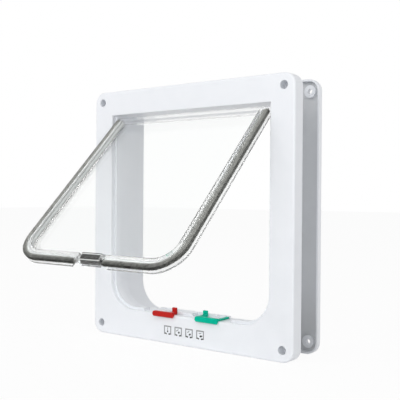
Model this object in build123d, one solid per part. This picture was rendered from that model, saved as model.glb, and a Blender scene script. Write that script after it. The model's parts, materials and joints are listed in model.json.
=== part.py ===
from build123d import *
import os

# Cat flap with four-way locking. Millimetres, X across, Z up, the room side faces -Y.
# The origin is the middle of the four screws, on the face of the front frame that seats on the door.

# Frames
frame_width = 235.0
frame_height = 248.0
frame_corner_radius = 11.0
front_flange_depth = 14.0
rear_flange_depth = 7.0
door_thickness = 30.5
front_plate = 2.5
rear_plate = 2.0
rim_wall = 2.5
rear_rim_wall = 1.7
outer_edge_radius = 2.0
screw_inset = 10.75
screw_hole_radius = 2.3
screw_head_radius = 3.9
screw_head_depth = 9.0
front_boss_radius = 5.4
rear_boss_radius = 5.7
rear_boss_height = 2.5

# Passage through the frames
opening_side_border = 24.0
opening_top_border = 24.5
opening_bottom_border = 27.9
opening_corner_radius = 28.0
opening_edge_radius = 0.8
front_sleeve_wall = 1.6
front_sleeve_reach = 10.0
sleeve_clearance = 0.4
rear_sleeve_wall = 2.0
rear_sleeve_reach = 26.0
rear_sill_drop = 4.0

# Sealing land that the pile brushes against
land_setback = 4.6
land_depth = 8.0
land_height = 2.6

# Raised pad across the middle of the sill, which the sliders move in
pad_end = 20.0
pad_groove_depth = 1.2
pad_groove_reach = 39.4

# Flap
flap_open_angle = 45.2
hinge_depth = 7.2
hinge_drop = 5.0
flap_clearance = 0.7
flap_corner_ease = 1.3
flap_sheet = 1.6
channel_ahead = 2.4
channel_behind = 2.8
channel_lip = 0.8
channel_lip_inset = 3.9
channel_web_inset = 6.6
channel_web = 2.6
channel_start = 3.0
pile_ahead = 3.3
pile_behind = 0.8
pile_overhang = 0.3
pile_clearance = 0.1
hinge_bar_radius = 2.6
hinge_bar_gap = 0.5
hinge_web = 2.0
hinge_pin_radius = 1.9
hinge_pin_clearance = 0.05
hinge_pin_engagement = 4.0
hinge_end_clearance = 0.3
hinge_boss_radius = 4.4
hinge_boss_wall = 2.0

# Magnet catch
cover_width = 24.2
cover_height = 8.6
cover_lift = 2.0
cover_ahead = 2.4
cover_rake = 0.8
cover_behind = 0.5
cover_foot_rise = 2.6
cover_heel_chamfer = 1.0
cover_wall = 0.9
cover_end_chamfer = 1.0
magnet_clearance = 0.1
sill_magnet_width = 22.0
sill_magnet_height = 4.5
magnet_pocket_wall = 0.8

# Lock sliders
lock_travel = 8.0
lock_clearance = 0.2
red_grip_inner = 10.6
green_grip_inner = 15.4
grip_length = 25.2
grip_proud = 3.4
grip_hang = 2.4
grip_rise = 2.8
grip_end_radius = 2.4
grip_edge_radius = 1.3
grip_back_chamfer = 2.2
red_post_inner = 12.4
green_post_inner = 14.0
green_arm_inner = 16.7
red_post_rise = 6.6
green_post_rise = 5.9
post_width = 4.4
post_depth = 2.4
post_edge_radius = 0.5
post_play = 0.4
guide_width = 3.0
guide_height = 1.6
guide_reach = 17.7
guide_end_inset = 0.2
guide_land_clearance = 11.6
leg_width = 2.4
leg_barb = 0.7
leg_foot = 1.4
slot_clearance = 0.3
lock_relief_clearance = 0.5

# Places that follow from the sizes above
opening_top = frame_height / 2 - opening_top_border
opening_bottom = opening_bottom_border - frame_height / 2
opening_half = frame_width / 2 - opening_side_border
screw_x = frame_width / 2 - screw_inset
screw_z = frame_height / 2 - screw_inset
frames_depth = front_flange_depth + door_thickness + rear_flange_depth
rear_seat = front_flange_depth + door_thickness
land_half = opening_half - land_height
land_bottom = opening_bottom + land_height
land_radius = opening_corner_radius - land_height
hinge_z = opening_top - hinge_drop
flap_half = land_half - flap_clearance
flap_bottom = land_bottom + flap_clearance
flap_radius = land_radius + flap_corner_ease
channel_top = hinge_z - channel_start
sheet_front = hinge_depth + channel_behind
flap_back = sheet_front + flap_sheet
lip_back = hinge_depth - channel_ahead
flap_front = lip_back - channel_lip
pile_front = hinge_depth - pile_ahead
pile_back = hinge_depth + pile_behind
cover_half = cover_width / 2
cover_bottom = flap_bottom + cover_lift
cover_top = cover_bottom + cover_height
cover_front = hinge_depth - cover_ahead
cover_foot = cover_front + cover_rake
cover_heel = cover_foot + cover_heel_chamfer
cover_back = flap_back + cover_behind
foot_z = cover_bottom + cover_foot_rise
floor_bottom = opening_bottom - front_sleeve_wall
red_post_setback = cover_heel + lock_clearance - post_depth
green_post_setback = cover_back + post_play
pad_front = red_post_setback + post_depth + slot_clearance
recess_end = green_post_setback + post_depth + slot_clearance
guide_outer = green_grip_inner + grip_length - guide_end_inset
land_gap_half_width = guide_outer + guide_land_clearance
pad_half_width = guide_outer + slot_clearance
pocket_front = red_post_setback + post_depth + leg_barb + lock_clearance
pocket_back = green_post_setback - lock_clearance
relief_z = opening_bottom + max(red_post_rise, green_post_rise) + lock_relief_clearance
relief_half = max(red_post_inner, green_post_inner) + post_width + lock_relief_clearance
screw_places = [(x, z) for x in (-screw_x, screw_x) for z in (-screw_z, screw_z)]


def slab(outline, front, back):
    """A flat outline, X across and Z up, made solid between two depths behind the front face."""
    return Pos(0, back - front_flange_depth, 0) * extrude(Plane.XZ * outline, back - front)


def block(x0, x1, front, back, z0, z1):
    """A plain block between two places across, two depths behind the front face and two heights."""
    outline = Pos((x0 + x1) / 2, (z0 + z1) / 2) * Rectangle(x1 - x0, z1 - z0)
    return slab(outline, front, back)


def round_bar(x, z, radius, front, back):
    """A round bar through the depth of the frames."""
    return slab(Pos(x, z) * Circle(radius), front, back)


def arch(half_width, top, bottom, radius):
    """The outline of the passage: square corners at the top and round ones at the bottom."""
    outline = Pos(0, (top + bottom) / 2) * Rectangle(2 * half_width, top - bottom)
    return fillet(outline.vertices().group_by(Axis.Y)[0], radius)


def flap_outline(inset, top):
    """The flap's outline, drawn in by an inset from its outermost edge."""
    return arch(flap_half - inset, top, flap_bottom + inset, flap_radius - inset)


def cross_pin(x0, x1, radius):
    """A round pin along the hinge line."""
    pin = Rot(0, 90, 0) * Cylinder(radius, x1 - x0)
    return Pos((x0 + x1) / 2, hinge_depth - front_flange_depth, hinge_z) * pin


def passage(growth, drop, front, back):
    """The passage's own outline grown outwards, with an extra drop of the sill."""
    top = opening_top + growth
    bottom = opening_bottom - growth - drop
    return slab(arch(opening_half + growth, top, bottom, opening_corner_radius + growth), front, back)


def frame_plate(inset, front, back):
    """The outline of a frame drawn in by an inset, made solid between two depths."""
    width = frame_width - 2 * inset
    height = frame_height - 2 * inset
    return slab(RectangleRounded(width, height, frame_corner_radius - inset), front, back)


def make_front_frame():
    """White room-side frame with its sleeve, land, hinge sockets, magnet pocket and slider slots."""
    flange = frame_plate(0, 0, front_flange_depth)
    flange = fillet(flange.edges().group_by(Axis.Y)[0], outer_edge_radius)
    frame = flange - frame_plate(rim_wall, front_plate, front_flange_depth)
    sleeve_end = front_flange_depth + front_sleeve_reach
    frame += passage(front_sleeve_wall, 0, 0, sleeve_end)
    for x, z in screw_places:
        frame += round_bar(x, z, front_boss_radius, 0, front_flange_depth)
    frame -= passage(0, 0, 0, sleeve_end)
    mouth = [e for e in frame.edges().group_by(Axis.Y)[0] if abs(e.center().X) < opening_half + 1
             and opening_bottom - 1 < e.center().Z < opening_top + 1]
    frame = fillet(mouth, opening_edge_radius)
    land_end = land_setback + land_depth
    land = passage(front_sleeve_wall / 2, 0, land_setback, land_end)
    inside = arch(land_half, opening_top + front_sleeve_wall, land_bottom, land_radius)
    land -= slab(inside, land_setback, land_end)
    land -= block(-land_gap_half_width, land_gap_half_width, land_setback, land_end,
                  opening_bottom - front_sleeve_wall, land_bottom + land_height)
    frame += land + sill_pad()
    for x, z in screw_places:
        frame -= round_bar(x, z, screw_hole_radius, 0, front_flange_depth)
        frame -= round_bar(x, z, screw_head_radius, 0, screw_head_depth)
    socket_end = opening_half + hinge_pin_engagement + hinge_end_clearance
    for side in (-1, 1):
        boss_start = opening_half + front_sleeve_wall / 2
        near, far = sorted((side * boss_start, side * (socket_end + hinge_boss_wall)))
        frame += cross_pin(near, far, hinge_boss_radius)
    for side in (-1, 1):
        near, far = sorted((side * land_half, side * socket_end))
        frame -= cross_pin(near, far, hinge_pin_radius + hinge_pin_clearance)
    frame += magnet_pocket()
    frame -= slider_slot(-1, red_post_inner, red_post_setback)
    frame -= slider_slot(1, green_post_inner, green_post_setback)
    return frame


def sill_pad():
    """Raised pad across the sill, with a groove on the red side and the green slider's recess."""
    pad = block(-pad_half_width, pad_half_width, pad_front, pad_end, floor_bottom, land_bottom)
    pad -= block(-pad_groove_reach, -red_grip_inner, green_post_setback, recess_end,
                 land_bottom - pad_groove_depth, land_bottom)
    near = green_post_inner - lock_travel - slot_clearance
    pad -= block(near, pad_half_width, pad_front, recess_end, opening_bottom, land_bottom)
    guide_near = guide_outer - guide_width - lock_travel - slot_clearance
    guide_end = guide_reach + slot_clearance
    return pad - block(guide_near, pad_half_width, recess_end, guide_end, opening_bottom, land_bottom)


def magnet_pocket():
    """Four walls under the middle of the sill that hold the sill magnet."""
    half = sill_magnet_width / 2 + magnet_clearance
    wall = magnet_pocket_wall
    low = floor_bottom - sill_magnet_height
    outside = block(-half - wall, half + wall, pocket_front, pocket_back, low, floor_bottom)
    return outside - block(-half, half, pocket_front + wall, pocket_back - wall, low, floor_bottom)


def slider_slot(side, post_inner, setback):
    """The slot in the sill that a slider's snap leg runs in, as long as the travel needs."""
    leg_inner = post_inner + (post_width - leg_width) / 2
    near = leg_inner - lock_travel - slot_clearance
    far = leg_inner + leg_width + slot_clearance
    left, right = sorted((side * near, side * far))
    return block(left, right, setback - lock_clearance, setback + post_depth + lock_clearance,
                 floor_bottom, land_bottom)


def make_rear_frame():
    """White outer frame: a shallow tray open towards the door, with screw bosses and the outer sleeve."""
    tray_floor = frames_depth - rear_plate
    inner = front_sleeve_wall + sleeve_clearance
    flange = frame_plate(0, rear_seat, frames_depth)
    flange = fillet(flange.edges().group_by(Axis.Y)[-1], outer_edge_radius)
    frame = flange - frame_plate(rear_rim_wall, rear_seat, tray_floor)
    sleeve_start = rear_seat - rear_sleeve_reach
    frame += passage(inner + rear_sleeve_wall, rear_sill_drop, sleeve_start, frames_depth)
    for x, z in screw_places:
        frame += round_bar(x, z, rear_boss_radius, tray_floor - rear_boss_height, tray_floor + rear_plate / 2)
    frame -= passage(inner, rear_sill_drop, sleeve_start, frames_depth)
    for x, z in screw_places:
        frame -= round_bar(x, z, screw_hole_radius, rear_seat, frames_depth)
    return frame


def flap_ring(outer, inner, front, back):
    """A band round three edges of the flap, between two insets and two depths."""
    outside = slab(flap_outline(outer, channel_top), front, back)
    return outside - slab(flap_outline(inner, channel_top), front, back)


def cover_space():
    """The notch in the flap's lower edge that the magnet cover fills."""
    return block(-cover_half, cover_half, pile_front, cover_back, flap_bottom - pile_overhang, cover_top)


def lock_relief():
    """The strip trimmed off the flap's lower edge where the parked lock posts stand."""
    return block(-relief_half, relief_half, flap_front, flap_back, flap_bottom, relief_z)


def post_recess():
    """The dent in the front of the pile where the parked red post stands when the flap hangs shut."""
    far = red_post_inner + post_width + lock_relief_clearance
    return block(-far, -cover_half, pile_front, red_post_setback + post_depth + lock_relief_clearance,
                 flap_bottom - pile_overhang, relief_z)


def open_flap(piece):
    """A piece of the hanging flap, swung open towards the room about the hinge line."""
    hinge_y = hinge_depth - front_flange_depth
    return Pos(0, hinge_y, hinge_z) * Rot(-flap_open_angle, 0, 0) * Pos(0, -hinge_y, -hinge_z) * piece


def make_flap_panel():
    """Clear flap: a sheet, a U-channel round three edges, a hinge bar and two stub pins, moulded in one."""
    web_inner = channel_web_inset + channel_web
    bar_half = land_half - hinge_bar_gap
    panel = slab(flap_outline(0, hinge_z), sheet_front, flap_back)
    panel += flap_ring(channel_web_inset, web_inner, lip_back, sheet_front)
    panel += flap_ring(channel_lip_inset, web_inner, flap_front, lip_back)
    panel += block(-bar_half, bar_half, hinge_depth, flap_back, hinge_z - hinge_web, hinge_z)
    panel += cross_pin(-bar_half, bar_half, hinge_bar_radius)
    pin_end = opening_half + hinge_pin_engagement
    panel += cross_pin(-pin_end, pin_end, hinge_pin_radius)
    return panel - cover_space() - lock_relief()


def make_brush(side):
    """One L-shaped pile strip: a woven back held in the channel and the pile that stands out of it."""
    pile_root = channel_lip_inset - pile_clearance
    strip = flap_ring(-pile_overhang, pile_root, pile_front, pile_back)
    strip += flap_ring(pile_root, channel_web_inset - pile_clearance, lip_back + pile_clearance,
                       sheet_front - pile_clearance)
    strip = strip - cover_space() - post_recess()
    near, far = sorted((side * cover_half, side * (flap_half + pile_overhang)))
    return strip & block(near, far, pile_front, sheet_front, flap_bottom - pile_overhang, channel_top)


def cover_side(shrink, top):
    """The cover's side view up to a given height, drawn in by an amount all round."""
    lean = cover_rake / (cover_top - foot_z)
    outline = Polyline((cover_foot - lean * (top - foot_z), top), (cover_foot, foot_z),
                       (cover_heel, foot_z - cover_heel_chamfer), (cover_back, cover_bottom),
                       (cover_back, top), close=True)
    side = make_face(outline)
    return offset(side, -shrink) if shrink else side


def cover_solid(shrink, top):
    """The cover's side view made solid across its width, drawn in by an amount all round."""
    side = Plane.YZ * Pos(-front_flange_depth, 0) * cover_side(shrink, top)
    return extrude(side, cover_half - shrink, both=True)


def make_magnet_cover():
    """Clear box at the flap's lower edge with a sloping underside and a magnet pocket open at the top."""
    body = cover_solid(0, cover_top)
    ends = body.faces().sort_by(Axis.X)
    upright = [e for face in (ends[0], ends[-1]) for e in face.edges() if abs((e @ 0).Z - (e @ 1).Z) > 3]
    body = chamfer(upright, cover_end_chamfer)
    return body - cover_solid(cover_wall, cover_top + 2 * cover_wall)


def make_flap_magnet():
    """Dark magnet block at the bottom of the flap, shaped like the inside of its cover."""
    return cover_solid(cover_wall + magnet_clearance, cover_top)


def make_sill_magnet():
    """Magnet block under the middle of the sill."""
    half = sill_magnet_width / 2
    wall = magnet_pocket_wall + magnet_clearance
    low = floor_bottom - sill_magnet_height
    return block(-half, half, pocket_front + wall, pocket_back - wall, low, floor_bottom)


def make_grip(inner, round_end):
    """The rounded finger bar of a slider, which hangs over the sill's front edge."""
    outer = inner + grip_length
    grip = block(inner, outer, -lock_clearance - grip_proud, -lock_clearance,
                 opening_bottom - grip_hang, opening_bottom + grip_rise)
    ends = grip.edges().filter_by(Axis.Y).sort_by(Axis.X)
    grip = fillet(ends[-2:] if round_end == "outer" else ends[:2], grip_end_radius)
    grip = fillet(grip.edges().group_by(Axis.Y)[0], grip_edge_radius)
    low = opening_bottom - grip_hang
    back = -lock_clearance - front_flange_depth
    cut = grip_back_chamfer
    wedge = make_face(Polyline((back, low), (back, low + cut), (back - cut, low), close=True))
    return grip - extrude(Plane.YZ * wedge, outer)


def make_arm(x0, x1, reach, top):
    """An arm of a slider, from inside its grip back over the sill."""
    return block(x0, x1, -lock_clearance - grip_proud / 2, reach, opening_bottom + lock_clearance, top)


def make_post(inner, setback, rise):
    """The post that stops the flap and the snap leg that runs in the sill's slot."""
    back = setback + post_depth
    low = opening_bottom + lock_clearance
    post = block(inner, inner + post_width, setback, back, low, opening_bottom + rise)
    post = fillet(post.edges().group_by(Axis.Z)[-1], post_edge_radius)
    leg_inner = inner + (post_width - leg_width) / 2
    leg_outer = leg_inner + leg_width
    foot_high = floor_bottom - lock_clearance
    foot_low = foot_high - leg_foot
    leg = block(leg_inner, leg_outer, setback, back, foot_low, low)
    foot = block(leg_inner, leg_outer, setback, back + leg_barb, foot_low, foot_high)
    return post + leg + foot


def make_red_lock():
    """Red slider: grip, arm and post, with the post in front of the flap."""
    lock = make_grip(red_grip_inner, "outer")
    arm_outer = red_post_inner + post_width
    lock += make_arm(red_post_inner, arm_outer, red_post_setback + post_depth, land_bottom)
    lock += make_post(red_post_inner, red_post_setback, red_post_rise)
    return mirror(lock, about=Plane.YZ)


def make_green_lock():
    """Green slider: grip, arm, post behind the flap and a guide arm at the outer end."""
    lock = make_grip(green_grip_inner, "inner")
    arm_outer = green_post_inner + post_width
    lock += make_arm(green_arm_inner, arm_outer, green_post_setback + post_depth, land_bottom)
    lock += make_post(green_post_inner, green_post_setback, green_post_rise)
    guide_top = opening_bottom + lock_clearance + guide_height
    return lock + make_arm(guide_outer - guide_width, guide_outer, guide_reach, guide_top)


pieces = {
    "front_frame": make_front_frame(),
    "rear_frame": make_rear_frame(),
    "flap_panel": open_flap(make_flap_panel()),
    "brush_left": open_flap(make_brush(-1)),
    "brush_right": open_flap(make_brush(1)),
    "magnet_cover": open_flap(make_magnet_cover()),
    "flap_magnet": open_flap(make_flap_magnet()),
    "sill_magnet": make_sill_magnet(),
    "red_lock": make_red_lock(),
    "green_lock": make_green_lock(),
}

os.makedirs("parts", exist_ok=True)
for name, piece in pieces.items():
    export_step(piece, f"parts/{name}.step")
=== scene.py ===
# %% [markdown]
# # A cat flap with a clear, brush-edged flap
#
# The packed model is the fixed frame: two white mouldings, a clear flap that swings on stub pins and two
# coloured lock sliders. Nothing of it is moved here. This lesson gives each piece its finish, grows the pile
# of the brush strips, prints the four small signs and sets up the studio.

# %% Load the packed frame
import json
import bpy
import numpy as np
from mathutils import Matrix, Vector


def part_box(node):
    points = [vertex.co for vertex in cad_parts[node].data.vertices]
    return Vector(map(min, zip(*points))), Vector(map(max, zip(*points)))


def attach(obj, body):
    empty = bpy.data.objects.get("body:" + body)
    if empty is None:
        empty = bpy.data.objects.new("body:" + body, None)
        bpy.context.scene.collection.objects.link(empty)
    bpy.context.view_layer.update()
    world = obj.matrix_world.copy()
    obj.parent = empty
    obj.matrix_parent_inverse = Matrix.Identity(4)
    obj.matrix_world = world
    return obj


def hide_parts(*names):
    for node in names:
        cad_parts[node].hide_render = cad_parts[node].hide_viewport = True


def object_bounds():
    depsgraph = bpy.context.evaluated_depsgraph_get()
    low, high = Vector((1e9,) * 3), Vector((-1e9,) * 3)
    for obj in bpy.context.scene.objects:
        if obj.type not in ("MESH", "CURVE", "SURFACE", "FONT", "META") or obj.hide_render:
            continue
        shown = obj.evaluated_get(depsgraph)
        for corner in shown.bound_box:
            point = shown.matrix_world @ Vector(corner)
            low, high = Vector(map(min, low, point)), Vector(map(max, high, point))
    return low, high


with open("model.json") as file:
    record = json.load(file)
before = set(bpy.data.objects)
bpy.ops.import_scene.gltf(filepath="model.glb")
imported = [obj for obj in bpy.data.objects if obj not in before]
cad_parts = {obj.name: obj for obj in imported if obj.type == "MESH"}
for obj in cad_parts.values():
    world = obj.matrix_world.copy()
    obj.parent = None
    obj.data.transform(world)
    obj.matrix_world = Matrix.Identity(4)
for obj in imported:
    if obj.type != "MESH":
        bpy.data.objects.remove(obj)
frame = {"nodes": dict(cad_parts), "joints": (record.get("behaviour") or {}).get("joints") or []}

cad_low, cad_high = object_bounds()
nodes = frame["nodes"]
MM = 0.001
print("CAD box in mm:", [round((b - a) / MM, 1) for a, b in zip(cad_low, cad_high)])

# %% [markdown]
# ## Writing shader maths as plain expressions
#
# A finish is a small sum of masks and noises. Math nodes could be placed and joined one by one, but then the
# formula can't be read any more. A class that wraps a socket and knows + - * and powers keeps it readable:
# each operator adds one Math node, whichever side the plain number stands on. Masks come from comparisons,
# which give one where they hold and nought elsewhere.

# %% A socket with arithmetic
class Wire:
    """One output of a shader node. Arithmetic and comparisons of wires and numbers become Math nodes."""

    def __init__(self, finish, socket):
        self.finish = finish
        self.socket = socket

    def maths(self, operation, *values):
        return self.finish.node("Math", {"operation": operation}, dict(enumerate(values)))

    def __add__(self, other):
        return self.maths("ADD", self, other)

    def __sub__(self, other):
        return self.maths("SUBTRACT", self, other)

    def __rsub__(self, other):
        return self.maths("SUBTRACT", other, self)

    def __mul__(self, other):
        return self.maths("MULTIPLY", self, other)

    def __pow__(self, other):
        return self.maths("POWER", self, other)

    __radd__ = __add__
    __rmul__ = __mul__

    def without_sign(self):
        return self.maths("ABSOLUTE", self)

    def larger(self, other):
        return self.maths("MAXIMUM", self, other)

    def smaller(self, other):
        return self.maths("MINIMUM", self, other)

    def above(self, limit):
        return self.maths("GREATER_THAN", self, limit)

    def below(self, limit):
        return self.maths("LESS_THAN", self, limit)

    def near(self, middle, width):
        return self.maths("COMPARE", self, middle, width)


print("a wire knows:", [name for name in vars(Wire) if not name.startswith("_")])

# %% A finish to put it in
class Finish:
    """A node tree, with one method that adds any node: its type, its settings and its sockets."""

    def __init__(self, tree):
        self.tree = tree

    def node(self, kind, settings=None, sockets=None, output=0):
        made = self.tree.nodes.new("ShaderNode" + kind)
        for name, value in (settings or {}).items():
            if name == "stops":
                ramp = made.color_ramp.elements
                while len(ramp) < len(value):
                    ramp.new(1.0)
                for element, (place, colour) in zip(ramp, value):
                    element.position = place
                    element.color = (*colour, 1.0)
            else:
                setattr(made, name, value)
        for place, value in (sockets or {}).items():
            self.join(made.inputs[place], value)
        return Wire(self, made.outputs[output]) if made.outputs else None

    def join(self, socket, value):
        if isinstance(value, Wire):
            self.tree.links.new(value.socket, socket)
        else:
            socket.default_value = value


class Plastic(Finish):
    """A material with its Principled shader at hand."""

    def __init__(self, name):
        self.material = bpy.data.materials.new(name)
        self.material.use_nodes = True
        super().__init__(self.material.node_tree)
        self.shader = self.tree.nodes["Principled BSDF"]
        self.place = self.node("TexCoord", output="Object")

    def surface(self, **sockets):
        for name, value in sockets.items():
            self.join(self.shader.inputs[name.replace("_", " ")], value)

    def noise(self, scale, detail=2.0):
        return self.node("TexNoise", {}, {"Vector": self.place, "Scale": scale, "Detail": detail})

    def shades(self, mask, low, high):
        return self.node("ValToRGB", {"stops": [(0.3, low), (0.7, high)]}, {"Fac": mask})

    def mix(self, factor, first, second):
        return self.node("Mix", {"data_type": "RGBA"}, {"Factor": factor, 6: first, 7: second}, output=2)

    def dot(self, vector, direction):
        return self.node("VectorMath", {"operation": "DOT_PRODUCT"}, {0: vector, 1: direction}, output=1)

    def facing(self, direction):
        """The cosine of the angle between the surface's own normal and a direction."""
        return self.dot(self.node("TexCoord", output="Normal"), direction)

    def grain(self, height, strength, distance):
        return self.node("Bump", {}, {"Height": height, "Strength": strength, "Distance": distance})

    def dress(self, *names):
        """Gives this material to nodes of the frame in place of their plain one."""
        for name in names:
            nodes[name].data.materials.clear()
            nodes[name].data.materials.append(self.material)
        print(self.material.name, "on", ", ".join(names))


TOWARDS_ROOM, TOWARDS_OUTSIDE, TOWARDS_RIGHT = (0.0, -1.0, 0.0), (0.0, 1.0, 0.0), (1.0, 0.0, 0.0)
GRAIN_HEIGHT = 0.03 * MM
print("grain height in mm:", GRAIN_HEIGHT / MM)

# %% [markdown]
# ## White satin plastic
#
# Both frames are injection moulded in a cool white with a fine spark-eroded skin. A flat white would do at
# arm's length. Close up the skin breaks the highlight, so two noises of 0.5 mm and 15 mm move the roughness,
# the colour by about one percent, and a bump only a few hundredths of a millimetre high. The floor of the
# rear tray gets painted shade: its colour is made darker and greyer than the rest, for the shade that falls
# there, and its skin is rougher. A mask finds it by its depth and by the direction that it faces.

# %% Give the frames their white
white = Plastic("white_satin_plastic")
skin = white.noise(2200.0)
drift = white.noise(60.0)
floor_reach = 4.0 * MM
tray_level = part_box("rear_frame")[1][1] - floor_reach
deep = white.dot(white.place, TOWARDS_OUTSIDE).above(tray_level)
tray_floor = white.facing(TOWARDS_ROOM).above(0.9) * deep
frame_white = white.shades(drift, (0.825, 0.845, 0.88), (0.845, 0.863, 0.897))
# Painted shade: a darker, greyer white stands in for the shade on the floor of the rear tray.
painted_tray_shade = white.shades(drift, (0.66, 0.675, 0.69), (0.69, 0.705, 0.72))
white.surface(
    Base_Color=white.mix(tray_floor, frame_white, painted_tray_shade),
    Roughness=0.36 + 0.1 * skin + 0.2 * tray_floor,
    Normal=white.grain(skin, 0.12, GRAIN_HEIGHT),
)
white.dress("front_frame", "rear_frame")

# %% [markdown]
# ## Clear flap and magnet cover
#
# The flap is polished acrylic: the sheet itself is hardly seen, and grey lines show where the channel round
# its edge has its corners. The full index of acrylic would pipe the light along the whole sheet and leave its
# edges black, so a lower index is used, and the rim and the hinge bar let a part of the light straight
# through. The corner lines are grey tints, because a moulded corner is rounded and bends the light away. The
# lip of the right leg gets a mottled tint as well, for the pile that shows in it.
#
# The rim is found by a formula: with q = (|x| - half + R, d - length + R), where d is the way down the flap,
# the inset is R - |max(q, 0)| - min(max(q), 0), the depth inside a rectangle with round corners.

# %% Measures of the flap
hinge = next(joint for joint in frame["joints"] if joint["name"] == "flap_hinge")
hinge_y, hinge_z = hinge["pos_m"][1:]
open_angle = np.radians(45.2)
pile_overhang = 0.3 * MM
flap_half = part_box("brush_right")[1][0] - pile_overhang
flap_length = 187.3 * MM
flap_bottom = hinge_z - flap_length
flap_radius = 26.7 * MM
cover = np.empty(3 * len(nodes["magnet_cover"].data.vertices))
nodes["magnet_cover"].data.vertices.foreach_get("co", cover)
cover_x, cover_y, cover_z = cover.reshape(-1, 3).T
cover_half = cover_x.max()
cover_down = (hinge_y - cover_y) * np.sin(open_angle) + (hinge_z - cover_z) * np.cos(open_angle)
cover_top = cover_down.min()
print("flap in mm, half width and length:", round(flap_half / MM, 1), round(flap_length / MM, 1))
print("magnet cover in mm, half width and top:", round(cover_half / MM, 1), round(cover_top / MM, 1))

# %% Find the place on the flap in the shader
clear = Plastic("clear_acrylic")
sideways = clear.dot(clear.place, TOWARDS_RIGHT)
across = sideways.without_sign()
from_hinge = clear.node("VectorMath", {"operation": "SUBTRACT"}, {0: clear.place, 1: (0.0, hinge_y, hinge_z)})
down = clear.dot(from_hinge, (0.0, -np.sin(open_angle), -np.cos(open_angle)))
ahead = clear.dot(from_hinge, (0.0, -np.cos(open_angle), np.sin(open_angle)))
past_side = across - (flap_half - flap_radius)
past_bottom = down - (flap_length - flap_radius)
round_corner = (past_side.larger(0.0) ** 2.0 + past_bottom.larger(0.0) ** 2.0) ** 0.5
inset = flap_radius - round_corner - past_side.larger(past_bottom).smaller(0.0)
print("nodes that find the place on the flap:", len(clear.tree.nodes))

# %% Give the clear pieces their acrylic
channel_inner, lip_outer = 9.2 * MM, 3.9 * MM
lip_middle, lip_half = (channel_inner + lip_outer) / 2, (channel_inner - lip_outer) / 2
lip_level, sheet_level = 2.2 * MM, -1.8 * MM
rim_width, bar_height = 14.0 * MM, 4.5 * MM
inner_half, outer_half, cover_line_half = 0.45 * MM, 0.3 * MM, 0.7 * MM
inner_tint, outer_tint, pile_tint, pile_tint_swing = 0.556, 0.333, 0.083, 0.222
rim_through, bar_through = 0.2, 0.5
lip = ahead.above(lip_level)
inner_lines = inset.near(channel_inner, inner_half) * (lip + ahead.below(sheet_level)) * inner_tint
outer_line = inset.near(lip_outer, outer_half) * lip * outer_tint
cover_line = down.near(cover_top, cover_line_half) * across.near(0.0, cover_half) * lip
right_leg = sideways.above(0.0) * past_bottom.below(0.0)
mottled = pile_tint + pile_tint_swing * clear.noise(700.0)
pile_in_lip = inset.near(lip_middle, lip_half) * lip * right_leg * mottled
tints = inner_lines.larger(outer_line).larger(cover_line).larger(pile_in_lip)
clear.surface(
    Base_Color=clear.mix(tints, (0.98, 0.99, 0.985, 1.0), (0.116, 0.126, 0.112, 1.0)),
    Roughness=0.02 + 0.03 * clear.noise(900.0),
    Transmission_Weight=1.0,
    IOR=1.2,
    Alpha=1.0 - rim_through * inset.below(rim_width) - bar_through * down.below(bar_height),
)
clear.dress("flap_panel", "magnet_cover")

# %% [markdown]
# ## Red and green lock sliders, and the magnets
#
# The sliders are small mouldings in a strong colour. A mirror gloss would wash the colour out, so the skin is
# nearly plain, with a fine grain. The magnets are dark ground blocks. Faces of the magnets that look straight
# at the room get a painted highlight, a pale colour; on the block in the flap it is one edge, which shows
# through the cover as a pale line. A mask finds it by the direction that it faces.

# %% Colour the lock sliders and the magnets
def coloured(name, dark, light, gloss):
    """A plastic whose colour drifts slowly between two near shades."""
    made = Plastic(name)
    made.colour = made.shades(made.noise(140.0), dark, light)
    made.surface(
        Base_Color=made.colour,
        Roughness=0.34 + 0.12 * made.noise(1500.0),
        Specular_IOR_Level=gloss,
        Normal=made.grain(made.noise(2500.0), 0.15, GRAIN_HEIGHT),
    )
    return made


red = coloured("red_gloss_plastic", (0.47, 0.0105, 0.0075), (0.53, 0.014, 0.0105), 0.15)
green = coloured("green_gloss_plastic", (0.0, 0.44, 0.29), (0.0, 0.48, 0.32), 0.06)
steel = coloured("ground_magnet", (0.02, 0.02, 0.02), (0.04, 0.04, 0.039), 0.15)
# Painted highlight: magnet faces that look at the room are coloured pale.
painted_edge_highlight = steel.facing(TOWARDS_ROOM).above(0.96)
steel.surface(Base_Color=steel.mix(painted_edge_highlight, steel.colour, (0.6, 0.6, 0.59, 1.0)))
red.dress("red_lock")
green.dress("green_lock")
steel.dress("flap_magnet", "sill_magnet")

# %% [markdown]
# ## Pile strips
#
# The flap is edged with woven pile, the draught strip of sliding windows: thousands of stiff fibres stand on
# a pale woven back that is held in the flap's channel. Hair particles would render well but can't be measured
# or exported, so each strip is one mesh: a soft core that stops the light, and a three-sided spike for each
# tuft.
#
# The strip follows the edge of the flap, so everything is placed by three numbers: how far along the edge,
# how deep inside it, and how far in front of the hinge line. One formula turns these into a point of the
# hanging flap, and one turn about the hinge swings the point open.

# %% The edge of the flap as a formula
leg_start = 3.0 * MM
leg_length = flap_length - leg_start - flap_radius
arc_length = flap_radius * np.pi / 2


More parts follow.
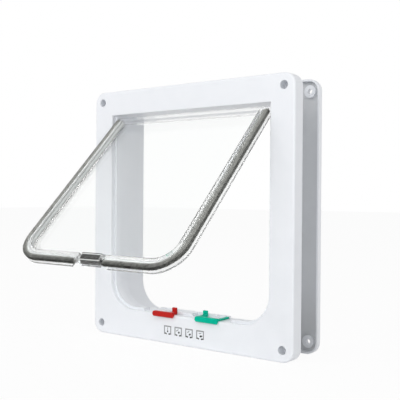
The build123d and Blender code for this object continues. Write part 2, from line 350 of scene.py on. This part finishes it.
def on_flap(side, along, inset, ahead):
    """Points of the open flap.

    The edge is a leg, a quarter circle of radius R and a run: with a = clip((along - leg) / R, 0, pi / 2),
    x = half - R + (R - inset) cos a - max(along - leg - arc, 0)
    z = bottom + R - (R - inset) sin a + max(leg - along, 0)
    and the turn by the angle t about the hinge gives y' = y cos t + z sin t, z' = z cos t - y sin t.
    """
    turned = np.clip((along - leg_length) / flap_radius, 0.0, np.pi / 2)
    reach = flap_radius - inset
    x = flap_half - flap_radius + reach * np.cos(turned) - np.maximum(along - leg_length - arc_length, 0.0)
    z = flap_bottom + flap_radius - reach * np.sin(turned) + np.maximum(leg_length - along, 0.0) - hinge_z
    y = -ahead
    swung_y = hinge_y + y * np.cos(open_angle) + z * np.sin(open_angle)
    swung_z = hinge_z + z * np.cos(open_angle) - y * np.sin(open_angle)
    return np.stack(np.broadcast_arrays(side * x, swung_y, swung_z), axis=-1)


def length_to(x):
    """The length of the edge from the top of a leg to a place at x on the run along the bottom."""
    return leg_length + arc_length + flap_half - flap_radius - x


def share_of_leg(along):
    """One on a leg, falling evenly to nought along the corner, and nought on the run."""
    return np.clip(1.0 - (along - leg_length) / arc_length, 0.0, 1.0)


print("strip length in mm, to the middle:", round(length_to(0.0) / MM, 1))

# %% Back and core of a strip
def swept(side, profile, end):
    """A profile of four (inset, ahead) corners carried along a strip from its top to an end, with two caps.

    Corner j of ring i is on_flap(along_i, inset_j, ahead_j), and each side quad joins two rings.
    """
    along = np.linspace(0.0, end, strip_rings)[:, None]
    inset, ahead = np.array(profile).T
    points = on_flap(side, along, inset[None, :], ahead[None, :]).reshape(-1, 3)
    ring, corner = np.meshgrid(np.arange(strip_rings - 1), np.arange(4), indexing="ij")
    here = ring * 4 + corner
    following = ring * 4 + (corner + 1) % 4
    quads = np.stack([here, following, following + 4, here + 4], axis=-1).reshape(-1, 4)
    caps = np.array([[3, 2, 1, 0], np.arange(4) + 4 * (strip_rings - 1)])
    return points, np.concatenate([quads, caps])[:, ::-side]


def bar(deep, shallow, behind, ahead):
    """The four corners of a bar's profile: deep and shallow are insets, behind and ahead its levels."""
    return [(deep, behind), (deep, ahead), (shallow, ahead), (shallow, behind)]


strip_rings = 160
pile_ahead, pile_behind = 3.3 * MM, -0.8 * MM
pile_root, pile_tip = 3.9 * MM, -pile_overhang
back_inset, back_ahead, back_behind = 6.4 * MM, 2.2 * MM, -2.6 * MM
core_ahead, core_behind, core_tip = 2.75 * MM, -0.35 * MM, 0.6 * MM
print("pile stands out of its back by mm:", round((pile_root - pile_tip) / MM, 2))

# %% [markdown]
# ### The tufts
#
# Seen close, pile isn't a comb of straight hairs: it is a mottle of small tufts that lie over one another. So
# short spikes stand on the front, the tip and the back of the core, and on its end, and lean towards the edge
# like fur. Each gets a shade: paler near the woven back and darker at the tips, which is painted shade, and
# mottled in patches of a millimetre or two. On the legs the tufts are paler, which is painted light.

# %% Mottled shades
def mottle(across, down, rng):
    """Value noise: random numbers on a square grid, blended bilinearly between the four nearest."""
    table = rng.normal(0.0, 1.0, (512, 64))
    row, column = np.floor(across).astype(int), np.floor(down).astype(int)
    u, v = across - row, down - column

    def corner(i, j):
        return table[(row + i) % 512, (column + j) % 64]

    upper = corner(0, 0) * (1 - u) + corner(1, 0) * u
    lower = corner(0, 1) * (1 - u) + corner(1, 1) * u
    return upper * (1 - v) + lower * v


# Painted shade: the tufts darken from root to tip, and the tip face is dark. Painted light: a paler tone on
# the legs.
root_shade, painted_shade_fall, edge_painted_shade, edge_painted_light = 0.7, 0.49, 0.165, 0.65
patch_size, patch_gain, tuft_gain = 1.5 * MM, 0.13, 0.1
print("shade of the pile, from root to tip:", root_shade, round(root_shade - painted_shade_fall, 2))

# %% Tufts of a strip
def tufts(side, count, ends, leg_painted_light, rng):
    """Three-sided spikes on the front, the tip, the back and the lower end of the core.

    A spike's foot is a triangle of radius r round (along, inset, ahead) on its face, and its tip is that
    place moved by (lean, -reach, swing): along the edge, towards it, and away from the core. What stands in
    front of the split stops at the first end and the rest at the second. The shade is root - fall t, with t
    from 0 at the root to 1 at the tip, which is painted shade, darker towards the tips; the tip face gets a
    dark painted shade of its own. To it come the mottle and, on the leg, a paler tone, which is painted
    light.
    """
    face = rng.choice(4, count, p=face_shares)
    front, tip_face, behind, last = face == 0, face == 1, face == 2, face == 3
    level = rng.uniform(core_behind, core_ahead, count)
    end = np.where(behind | (~front & (level < split)), ends[1], ends[0])
    along = end * np.where(last, 1.0, rng.uniform(0.0, 1.0, count))
    inset = np.where(tip_face, core_tip, rng.uniform(core_tip, pile_root, count))
    ahead = np.select([front, behind], [np.full(count, core_ahead), np.full(count, core_behind)], level)
    reach = np.where(tip_face, rng.uniform(0.5, 1.0, count), rng.uniform(0.6, 1.5, count)) * MM
    away = rng.uniform(0.05, 0.55, count) * MM
    swing = np.select([front, behind], [away, -away], rng.normal(0.0, 0.25, count) * MM)
    lean = np.where(last, rng.uniform(0.1, 0.5, count), rng.normal(0.0, 0.4, count)) * MM
    angle = rng.uniform(0.0, 2 * np.pi, count)[:, None] + np.array([0.0, 2.0, 4.0]) * np.pi / 3
    wide = tuft_radius * np.cos(angle)
    high = tuft_radius * np.sin(angle)
    flat = tip_face[:, None]
    foot = on_flap(side, along[:, None] + wide, inset[:, None] + np.where(flat, 0.0, high),
                   ahead[:, None] + np.where(flat, high, 0.0))
    tip = on_flap(side, np.maximum(along + lean, 0.0), np.maximum(inset - reach, pile_tip - stray),
                  np.clip(ahead + swing, pile_behind, pile_ahead))
    points = np.concatenate([foot, tip[:, None, :]], axis=1).reshape(-1, 3)
    sides = np.array([[0, 1, 3], [1, 2, 3], [2, 0, 3], [2, 1, 0]])
    faces = (np.arange(count)[:, None, None] * 4 + sides).reshape(-1, 3)
    depth = 1.0 - inset / pile_root
    patch = mottle(along / patch_size, np.where(tip_face, ahead, inset) / patch_size + 20.0 * face, rng)
    tone = leg_painted_light * share_of_leg(along)
    # Painted shade towards the tips, painted light on the legs.
    plain = np.where(tip_face, edge_painted_shade + edge_painted_light * tone, root_shade - painted_shade_fall * depth + tone)
    shade = plain + patch_gain * patch + rng.normal(0.0, tuft_gain, count)
    return points, faces, np.repeat(np.clip(shade, 0.0, 1.0), 4)


tuft_count, tuft_radius = 36000, 0.17 * MM
face_shares = (0.44, 0.33, 0.21, 0.02)
split, stray = -0.1 * MM, 0.15 * MM
print("tufts on a strip:", tuft_count, "radius in mm:", tuft_radius / MM)

# %% [markdown]
# ### Colour of the pile
#
# The fibres are a warm dark grey polypropylene, the back is a pale weave with a dark thread along each side.
# One number at each point tells which: from nought to one it is the shade of a tuft, and below -0.5 it is the
# back, from -1 where the weave is pale to -2 where it is grey. So a single material serves both. A second
# number goes from nought at the front of the back to one at its rear and places the two threads. The right
# leg has paler pile and a greyer back than the left. That follows the photograph. The paler pile of the legs,
# most of all of the right leg, is painted light.

# %% The material of the strips
pile = Plastic("grey_pile_fibre")
shade = pile.node("Attribute", {"attribute_name": "shade"}, output="Fac")
thread = pile.node("Attribute", {"attribute_name": "thread"}, output="Fac")
fibre_stops = [(0.0, (0.045, 0.047, 0.042)), (1.0, (0.5, 0.505, 0.48))]
fibre_colour = pile.node("ValToRGB", {"stops": fibre_stops}, {"Fac": shade})
pale_weave = pile.shades(pile.noise(1200.0), (0.72, 0.735, 0.735), (0.8, 0.815, 0.815))
grey_weave = pile.shades(pile.noise(1200.0), (0.38, 0.385, 0.37), (0.52, 0.525, 0.51))
front_thread, front_thread_half, rear_thread, front_dark = 0.14, 0.08, 0.78, 0.55
threads = (front_dark * thread.near(front_thread, front_thread_half)).larger(thread.above(rear_thread))
weave = pile.mix(threads.larger(-1.0 - shade), pale_weave, grey_weave)
pile.surface(
    Base_Color=pile.mix(shade.below(-0.5), fibre_colour, weave),
    Roughness=0.7 + 0.1 * shade,
    Specular_IOR_Level=0.15,
)
print("material of the strips:", pile.material.name)

# %% Grow the two strips
def pile_strip(name, node, side, front_stop, stop, leg_painted_light, back_grey, seed):
    """One pile strip: pale back, dark core and tufts joined in a mesh that rides on the flap.

    The pile's front stops at front_stop from the flap's middle, and the rest of the strip at stop. The four
    numbers of back_grey tell how grey the corners of the back are on the leg.
    """
    rng = np.random.default_rng(seed)
    ends = length_to(front_stop), length_to(stop)
    layers = [
        swept(side, bar(back_inset, pile_root, back_behind, back_ahead), ends[1]),
        swept(side, bar(pile_root, core_tip, core_behind, split), ends[1]),
        swept(side, bar(pile_root, core_tip, split, core_ahead), ends[0]),
    ]
    tuft_points, tuft_faces, tuft_shades = tufts(side, tuft_count, ends, leg_painted_light, rng)
    starts = np.cumsum([0] + [len(points) for points, _ in layers])
    points = np.concatenate([points for points, _ in layers] + [tuft_points])
    faces = np.concatenate([quads + start for (_, quads), start in zip(layers, starts)]).tolist()
    faces += (tuft_faces[:, ::side] + starts[-1]).tolist()
    back_along = np.repeat(np.linspace(0.0, ends[1], strip_rings), 4)
    back_shade = -1.0 - np.tile(back_grey, strip_rings) * share_of_leg(back_along)
    core_shade = np.tile([core_pale, core_pale, core_dark, core_dark], 2 * strip_rings)
    back_threads = np.zeros(len(points))
    back_threads[:starts[1]] = np.tile([1.0, 0.0, 0.0, 1.0], strip_rings)
    mesh = bpy.data.meshes.new(name)
    mesh.from_pydata(points.tolist(), [], faces)
    shades = np.concatenate([back_shade, core_shade, tuft_shades])
    for attribute, values in (("shade", shades), ("thread", back_threads)):
        mesh.attributes.new(attribute, "FLOAT", "POINT").data.foreach_set("value", values)
    mesh.materials.append(pile.material)
    strip = bpy.data.objects.new(name, mesh)
    bpy.context.scene.collection.objects.link(strip)
    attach(strip, "flap")
    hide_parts(node)
    print(name, "faces:", len(faces))


# Painted shade: the core is pale at its root corners and dark at its tip corners.
core_pale, core_dark = 0.75, 0.08
# Painted light: the pile of each leg is made paler, the right leg most.
pile_strip("pile_strip_left", "brush_left", side=-1, front_stop=17.4 * MM, stop=14.7 * MM,
           leg_painted_light=0.165, back_grey=(0.0, 0.0, 0.4, 0.4), seed=11)
pile_strip("pile_strip_right", "brush_right", side=1, front_stop=18.3 * MM, stop=18.3 * MM,
           leg_painted_light=0.6, back_grey=(1.0, 1.0, 1.0, 1.0), seed=12)

# %% [markdown]
# ## Printed signs
#
# Four small signs on the sill tell the four lock settings. They are pad printed, so they are flat shapes a
# few hundredths of a millimetre in front of the plastic. The signs are generic: a grey doorway, two dark bars
# for the floor on each side, a dark spot for the animal and a thin line for the way that is open to it.

# %% Flat shapes for the signs
def stroke(path, width):
    """A flat ribbon along a path: each point moves half the width along the mitred normal, to both sides."""
    path = np.array(path)
    before = np.vstack([2 * path[0] - path[1], path[:-1]])
    after = np.vstack([path[1:], 2 * path[-1] - path[-2]])
    incoming = (path - before) / np.linalg.norm(path - before, axis=1)[:, None]
    outgoing = (after - path) / np.linalg.norm(after - path, axis=1)[:, None]
    mitre = incoming + outgoing
    mitre = mitre / (mitre * mitre).sum(axis=1)[:, None] * 2.0
    normal = np.stack([-mitre[:, 1], mitre[:, 0]], axis=1) * width / 2
    here = np.arange(len(path) - 1)
    faces = np.stack([here, here + 1, here + 1 + len(path), here + len(path)], axis=1)
    return np.vstack([path - normal, path + normal]), faces.tolist()


def spot(x, z, wide, high, turn):
    """A filled ellipse: (x, z) plus the turned (wide cos a, high sin a) for evenly spaced angles a."""
    a = np.linspace(0.0, 2 * np.pi, spot_corners, endpoint=False)
    out, up = wide * np.cos(a), high * np.sin(a)
    turned_out = out * np.cos(turn) - up * np.sin(turn)
    turned_up = out * np.sin(turn) + up * np.cos(turn)
    return np.stack([x + turned_out, z + turned_up], axis=1), [list(range(spot_corners))]


def ink(name, dark, light):
    """A matt printing ink with a slightly uneven film."""
    made = Plastic(name)
    made.surface(
        Base_Color=made.shades(made.noise(2500.0), dark, light),
        Roughness=0.5 + 0.15 * made.noise(1800.0),
    )
    return made.material


spot_corners = 20
grey_ink = ink("grey_printing_ink", (0.26, 0.265, 0.27), (0.31, 0.315, 0.32))
dark_ink = ink("dark_printing_ink", (0.016, 0.0165, 0.017), (0.03, 0.031, 0.032))
print("inks:", grey_ink.name, dark_ink.name)

# %% Print the four signs
def sign(name, x, animal, way):
    """A doorway, two floor bars, the animal's spot and the open way, in one mesh on the sill's face."""
    side = sign_size / 2 - doorway_line / 2
    doorway = [(-side, -side), (-side, side), (side, side), (side, -side)]
    grey = [stroke(doorway, doorway_line), stroke(way, thin_line)]
    dark = [stroke(floor_bar, floor_line) for floor_bar in floor_bars] + [spot(*animal)]
    shapes = grey + dark
    starts = np.cumsum([0] + [len(points) for points, _ in shapes])
    faces = [[corner + start for corner in face] for (_, made), start in zip(shapes, starts) for face in made]
    flat = np.concatenate([points for points, _ in shapes]) + np.array([x, sign_height])
    mesh = bpy.data.meshes.new(name)
    mesh.from_pydata(np.insert(flat, 1, sign_plane, axis=1).tolist(), [], faces)
    inks = np.repeat([0, 1], [sum(len(made) for _, made in group) for group in (grey, dark)])
    mesh.polygons.foreach_set("material_index", inks)
    mesh.materials.append(grey_ink)
    mesh.materials.append(dark_ink)
    made = bpy.data.objects.new(name, mesh)
    bpy.context.scene.collection.objects.link(made)
    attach(made, "frame")
    print(name, "faces:", len(faces))


sign_size, sign_pitch, sign_height = 8.9 * MM, 12.9 * MM, -111.1 * MM
first_sign, print_gap = -1.45 * sign_pitch, 0.03 * MM
doorway_line, thin_line, floor_line = 1.2 * MM, 0.85 * MM, 0.15 * sign_size
floor_bars = sign_size * np.array([[(-0.37, -0.33), (-0.12, -0.4)], [(0.12, -0.4), (0.37, -0.36)]])
sign_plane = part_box("front_frame")[0][1] - print_gap
# Each setting has its spot (x, z, half width, half height in mm, and turn) and its open way (points in mm).
settings = {
    "both": ((0.0, -1.0, 0.85, 0.95, 0.0), [(0.0, 0.4), (0.0, 2.7)]),
    "inward": ((0.8, -0.6, 1.15, 1.0, 0.3), [(-2.6, 0.3), (0.3, 2.2)]),
    "outward": ((1.0, -0.8, 1.35, 0.8, 0.5), [(-2.0, 0.8), (0.4, 2.1)]),
    "shut": ((1.0, -0.9, 1.65, 0.9, 0.2), [(-1.5, 1.5), (1.5, 1.9)]),
}
for place, (setting, (animal, way)) in enumerate(settings.items()):
    spot_place = [*np.array(animal[:4]) * MM, animal[4]]
    sign("sign_" + setting, first_sign + place * sign_pitch, spot_place, np.array(way) * MM)

# %% [markdown]
# ## The camera
#
# The photograph was taken from the right, almost level with the middle of the flap. The place and the turn
# were found by fitting the screw holes and the edges of both frames, so the camera is written as those
# numbers: yaw, pitch and roll, and a lens for a square picture.

# %% Place the camera
yaw, pitch, roll = np.radians([36.566, 0.294, 0.427])
camera_place = (0.39978, -0.52759, 0.017536)
picture_width, focal_length, sensor_width = 400.0, 690.245, 36.0
forward = np.array([-np.sin(yaw) * np.cos(pitch), np.cos(yaw) * np.cos(pitch), -np.sin(pitch)])
level = np.array([np.cos(yaw), np.sin(yaw), 0.0])
upright = np.cross(level, forward)
right = np.cos(roll) * level + np.sin(roll) * upright
up = np.cos(roll) * upright - np.sin(roll) * level


def put(thing, place, columns):
    """Links an object and sets it at a place, with its own three axes as the columns of its turn."""
    bpy.context.scene.collection.objects.link(thing)
    turn = Matrix([[*row] for row in np.stack(columns, axis=1)]).to_4x4()
    thing.matrix_world = Matrix.Translation(place) @ turn


camera_data = bpy.data.cameras.new("photo_camera")
camera_data.sensor_width = sensor_width
camera_data.lens = focal_length / picture_width * sensor_width
camera_data.clip_start, camera_data.clip_end = 0.02, 40.0
camera = bpy.data.objects.new("photo_camera", camera_data)
put(camera, camera_place, [right, up, -forward])
bpy.context.scene.camera = camera
print("camera lens in mm:", round(camera_data.lens, 2))

# %% [markdown]
# ## Studio
#
# A pale floor, a white surround and four large soft lamps: a key from the upper left, a wide one in front, a
# weak one at the right and one overhead. The background is white because the world and the floor send
# strength 1 to the camera, and to rays that glass or gloss send on. The light that falls on the object is
# lower, and the floor keeps a share of its own shading, and with it the object's shadow.

# %% Surround
def seen_directly(finish):
    """One for rays of the camera, of gloss and of glass, and nought for the diffuse light."""
    kinds = ("Is Camera Ray", "Is Glossy Ray", "Is Transmission Ray")
    camera_ray, glossy_ray, glass_ray = [finish.node("LightPath", output=kind) for kind in kinds]
    return (camera_ray + glossy_ray + glass_ray).smaller(1.0)


WHITE = (1.0, 1.0, 1.0, 1.0)
world = bpy.data.worlds.new("white_surround")
world.use_nodes = True
bpy.context.scene.world = world
surround = Finish(world.node_tree)
surround.tree.nodes.clear()
dim = surround.node("Background", {}, {"Color": WHITE, "Strength": 0.5})
bright = surround.node("Background", {}, {"Color": WHITE, "Strength": 1.0})
mixed = surround.node("MixShader", {}, {0: seen_directly(surround), 1: dim, 2: bright})
surround.node("OutputWorld", {}, {"Surface": mixed})
print("surround:", world.name)

# %% Floor
paper_material = bpy.data.materials.new("white_paper")
paper_material.use_nodes = True
paper = Finish(paper_material.node_tree)
paper.tree.nodes.clear()
matt = paper.node("BsdfDiffuse", {}, {"Color": (0.9, 0.9, 0.9, 1.0)})
glow = paper.node("Emission", {}, {"Color": WHITE, "Strength": 1.0})
glow_share = 0.94
sheet = paper.node("MixShader", {}, {0: glow_share * seen_directly(paper), 1: matt, 2: glow})
paper.node("OutputMaterial", {}, {"Surface": sheet})

floor_half = 6.0
floor_mesh = bpy.data.meshes.new("studio_floor")
corners = floor_half * np.array([[-1.0, -1.0], [1.0, -1.0], [1.0, 1.0], [-1.0, 1.0]])
floor_mesh.from_pydata(np.column_stack([corners, np.full(4, cad_low.z)]).tolist(), [], [[0, 1, 2, 3]])
floor_mesh.materials.append(paper_material)
floor = bpy.data.objects.new("studio_floor", floor_mesh)
bpy.context.scene.collection.objects.link(floor)
print("floor in m, width:", 2 * floor_half)

# %% Lamps
def soft_lamp(name, place, aim, size, power):
    """A square area lamp that looks from its place to its aim."""
    data = bpy.data.lights.new(name, "AREA")
    data.size = size
    data.energy = power
    back = np.array(place) - np.array(aim)
    back = back / np.linalg.norm(back)
    side = np.cross((0.0, 0.0, 1.0), back)
    side = side / np.linalg.norm(side)
    put(bpy.data.objects.new(name, data), place, [side, np.cross(back, side), back])
    print(name, "power in W:", power)


soft_lamp("key_lamp", place=(-0.5, -1.4, 1.1), aim=(0.0, 0.0, 0.0), size=1.2, power=8.0)
soft_lamp("front_lamp", place=(0.5, -2.0, 0.1), aim=(0.0, 0.0, 0.0), size=2.0, power=19.0)
soft_lamp("side_lamp", place=(1.5, -0.4, 0.6), aim=(0.0, 0.0, 0.0), size=1.0, power=5.0)
soft_lamp("top_lamp", place=(0.0, -0.2, 2.4), aim=(0.0, -0.2, 0.0), size=2.4, power=16.0)
bpy.context.scene.view_settings.view_transform = "Standard"
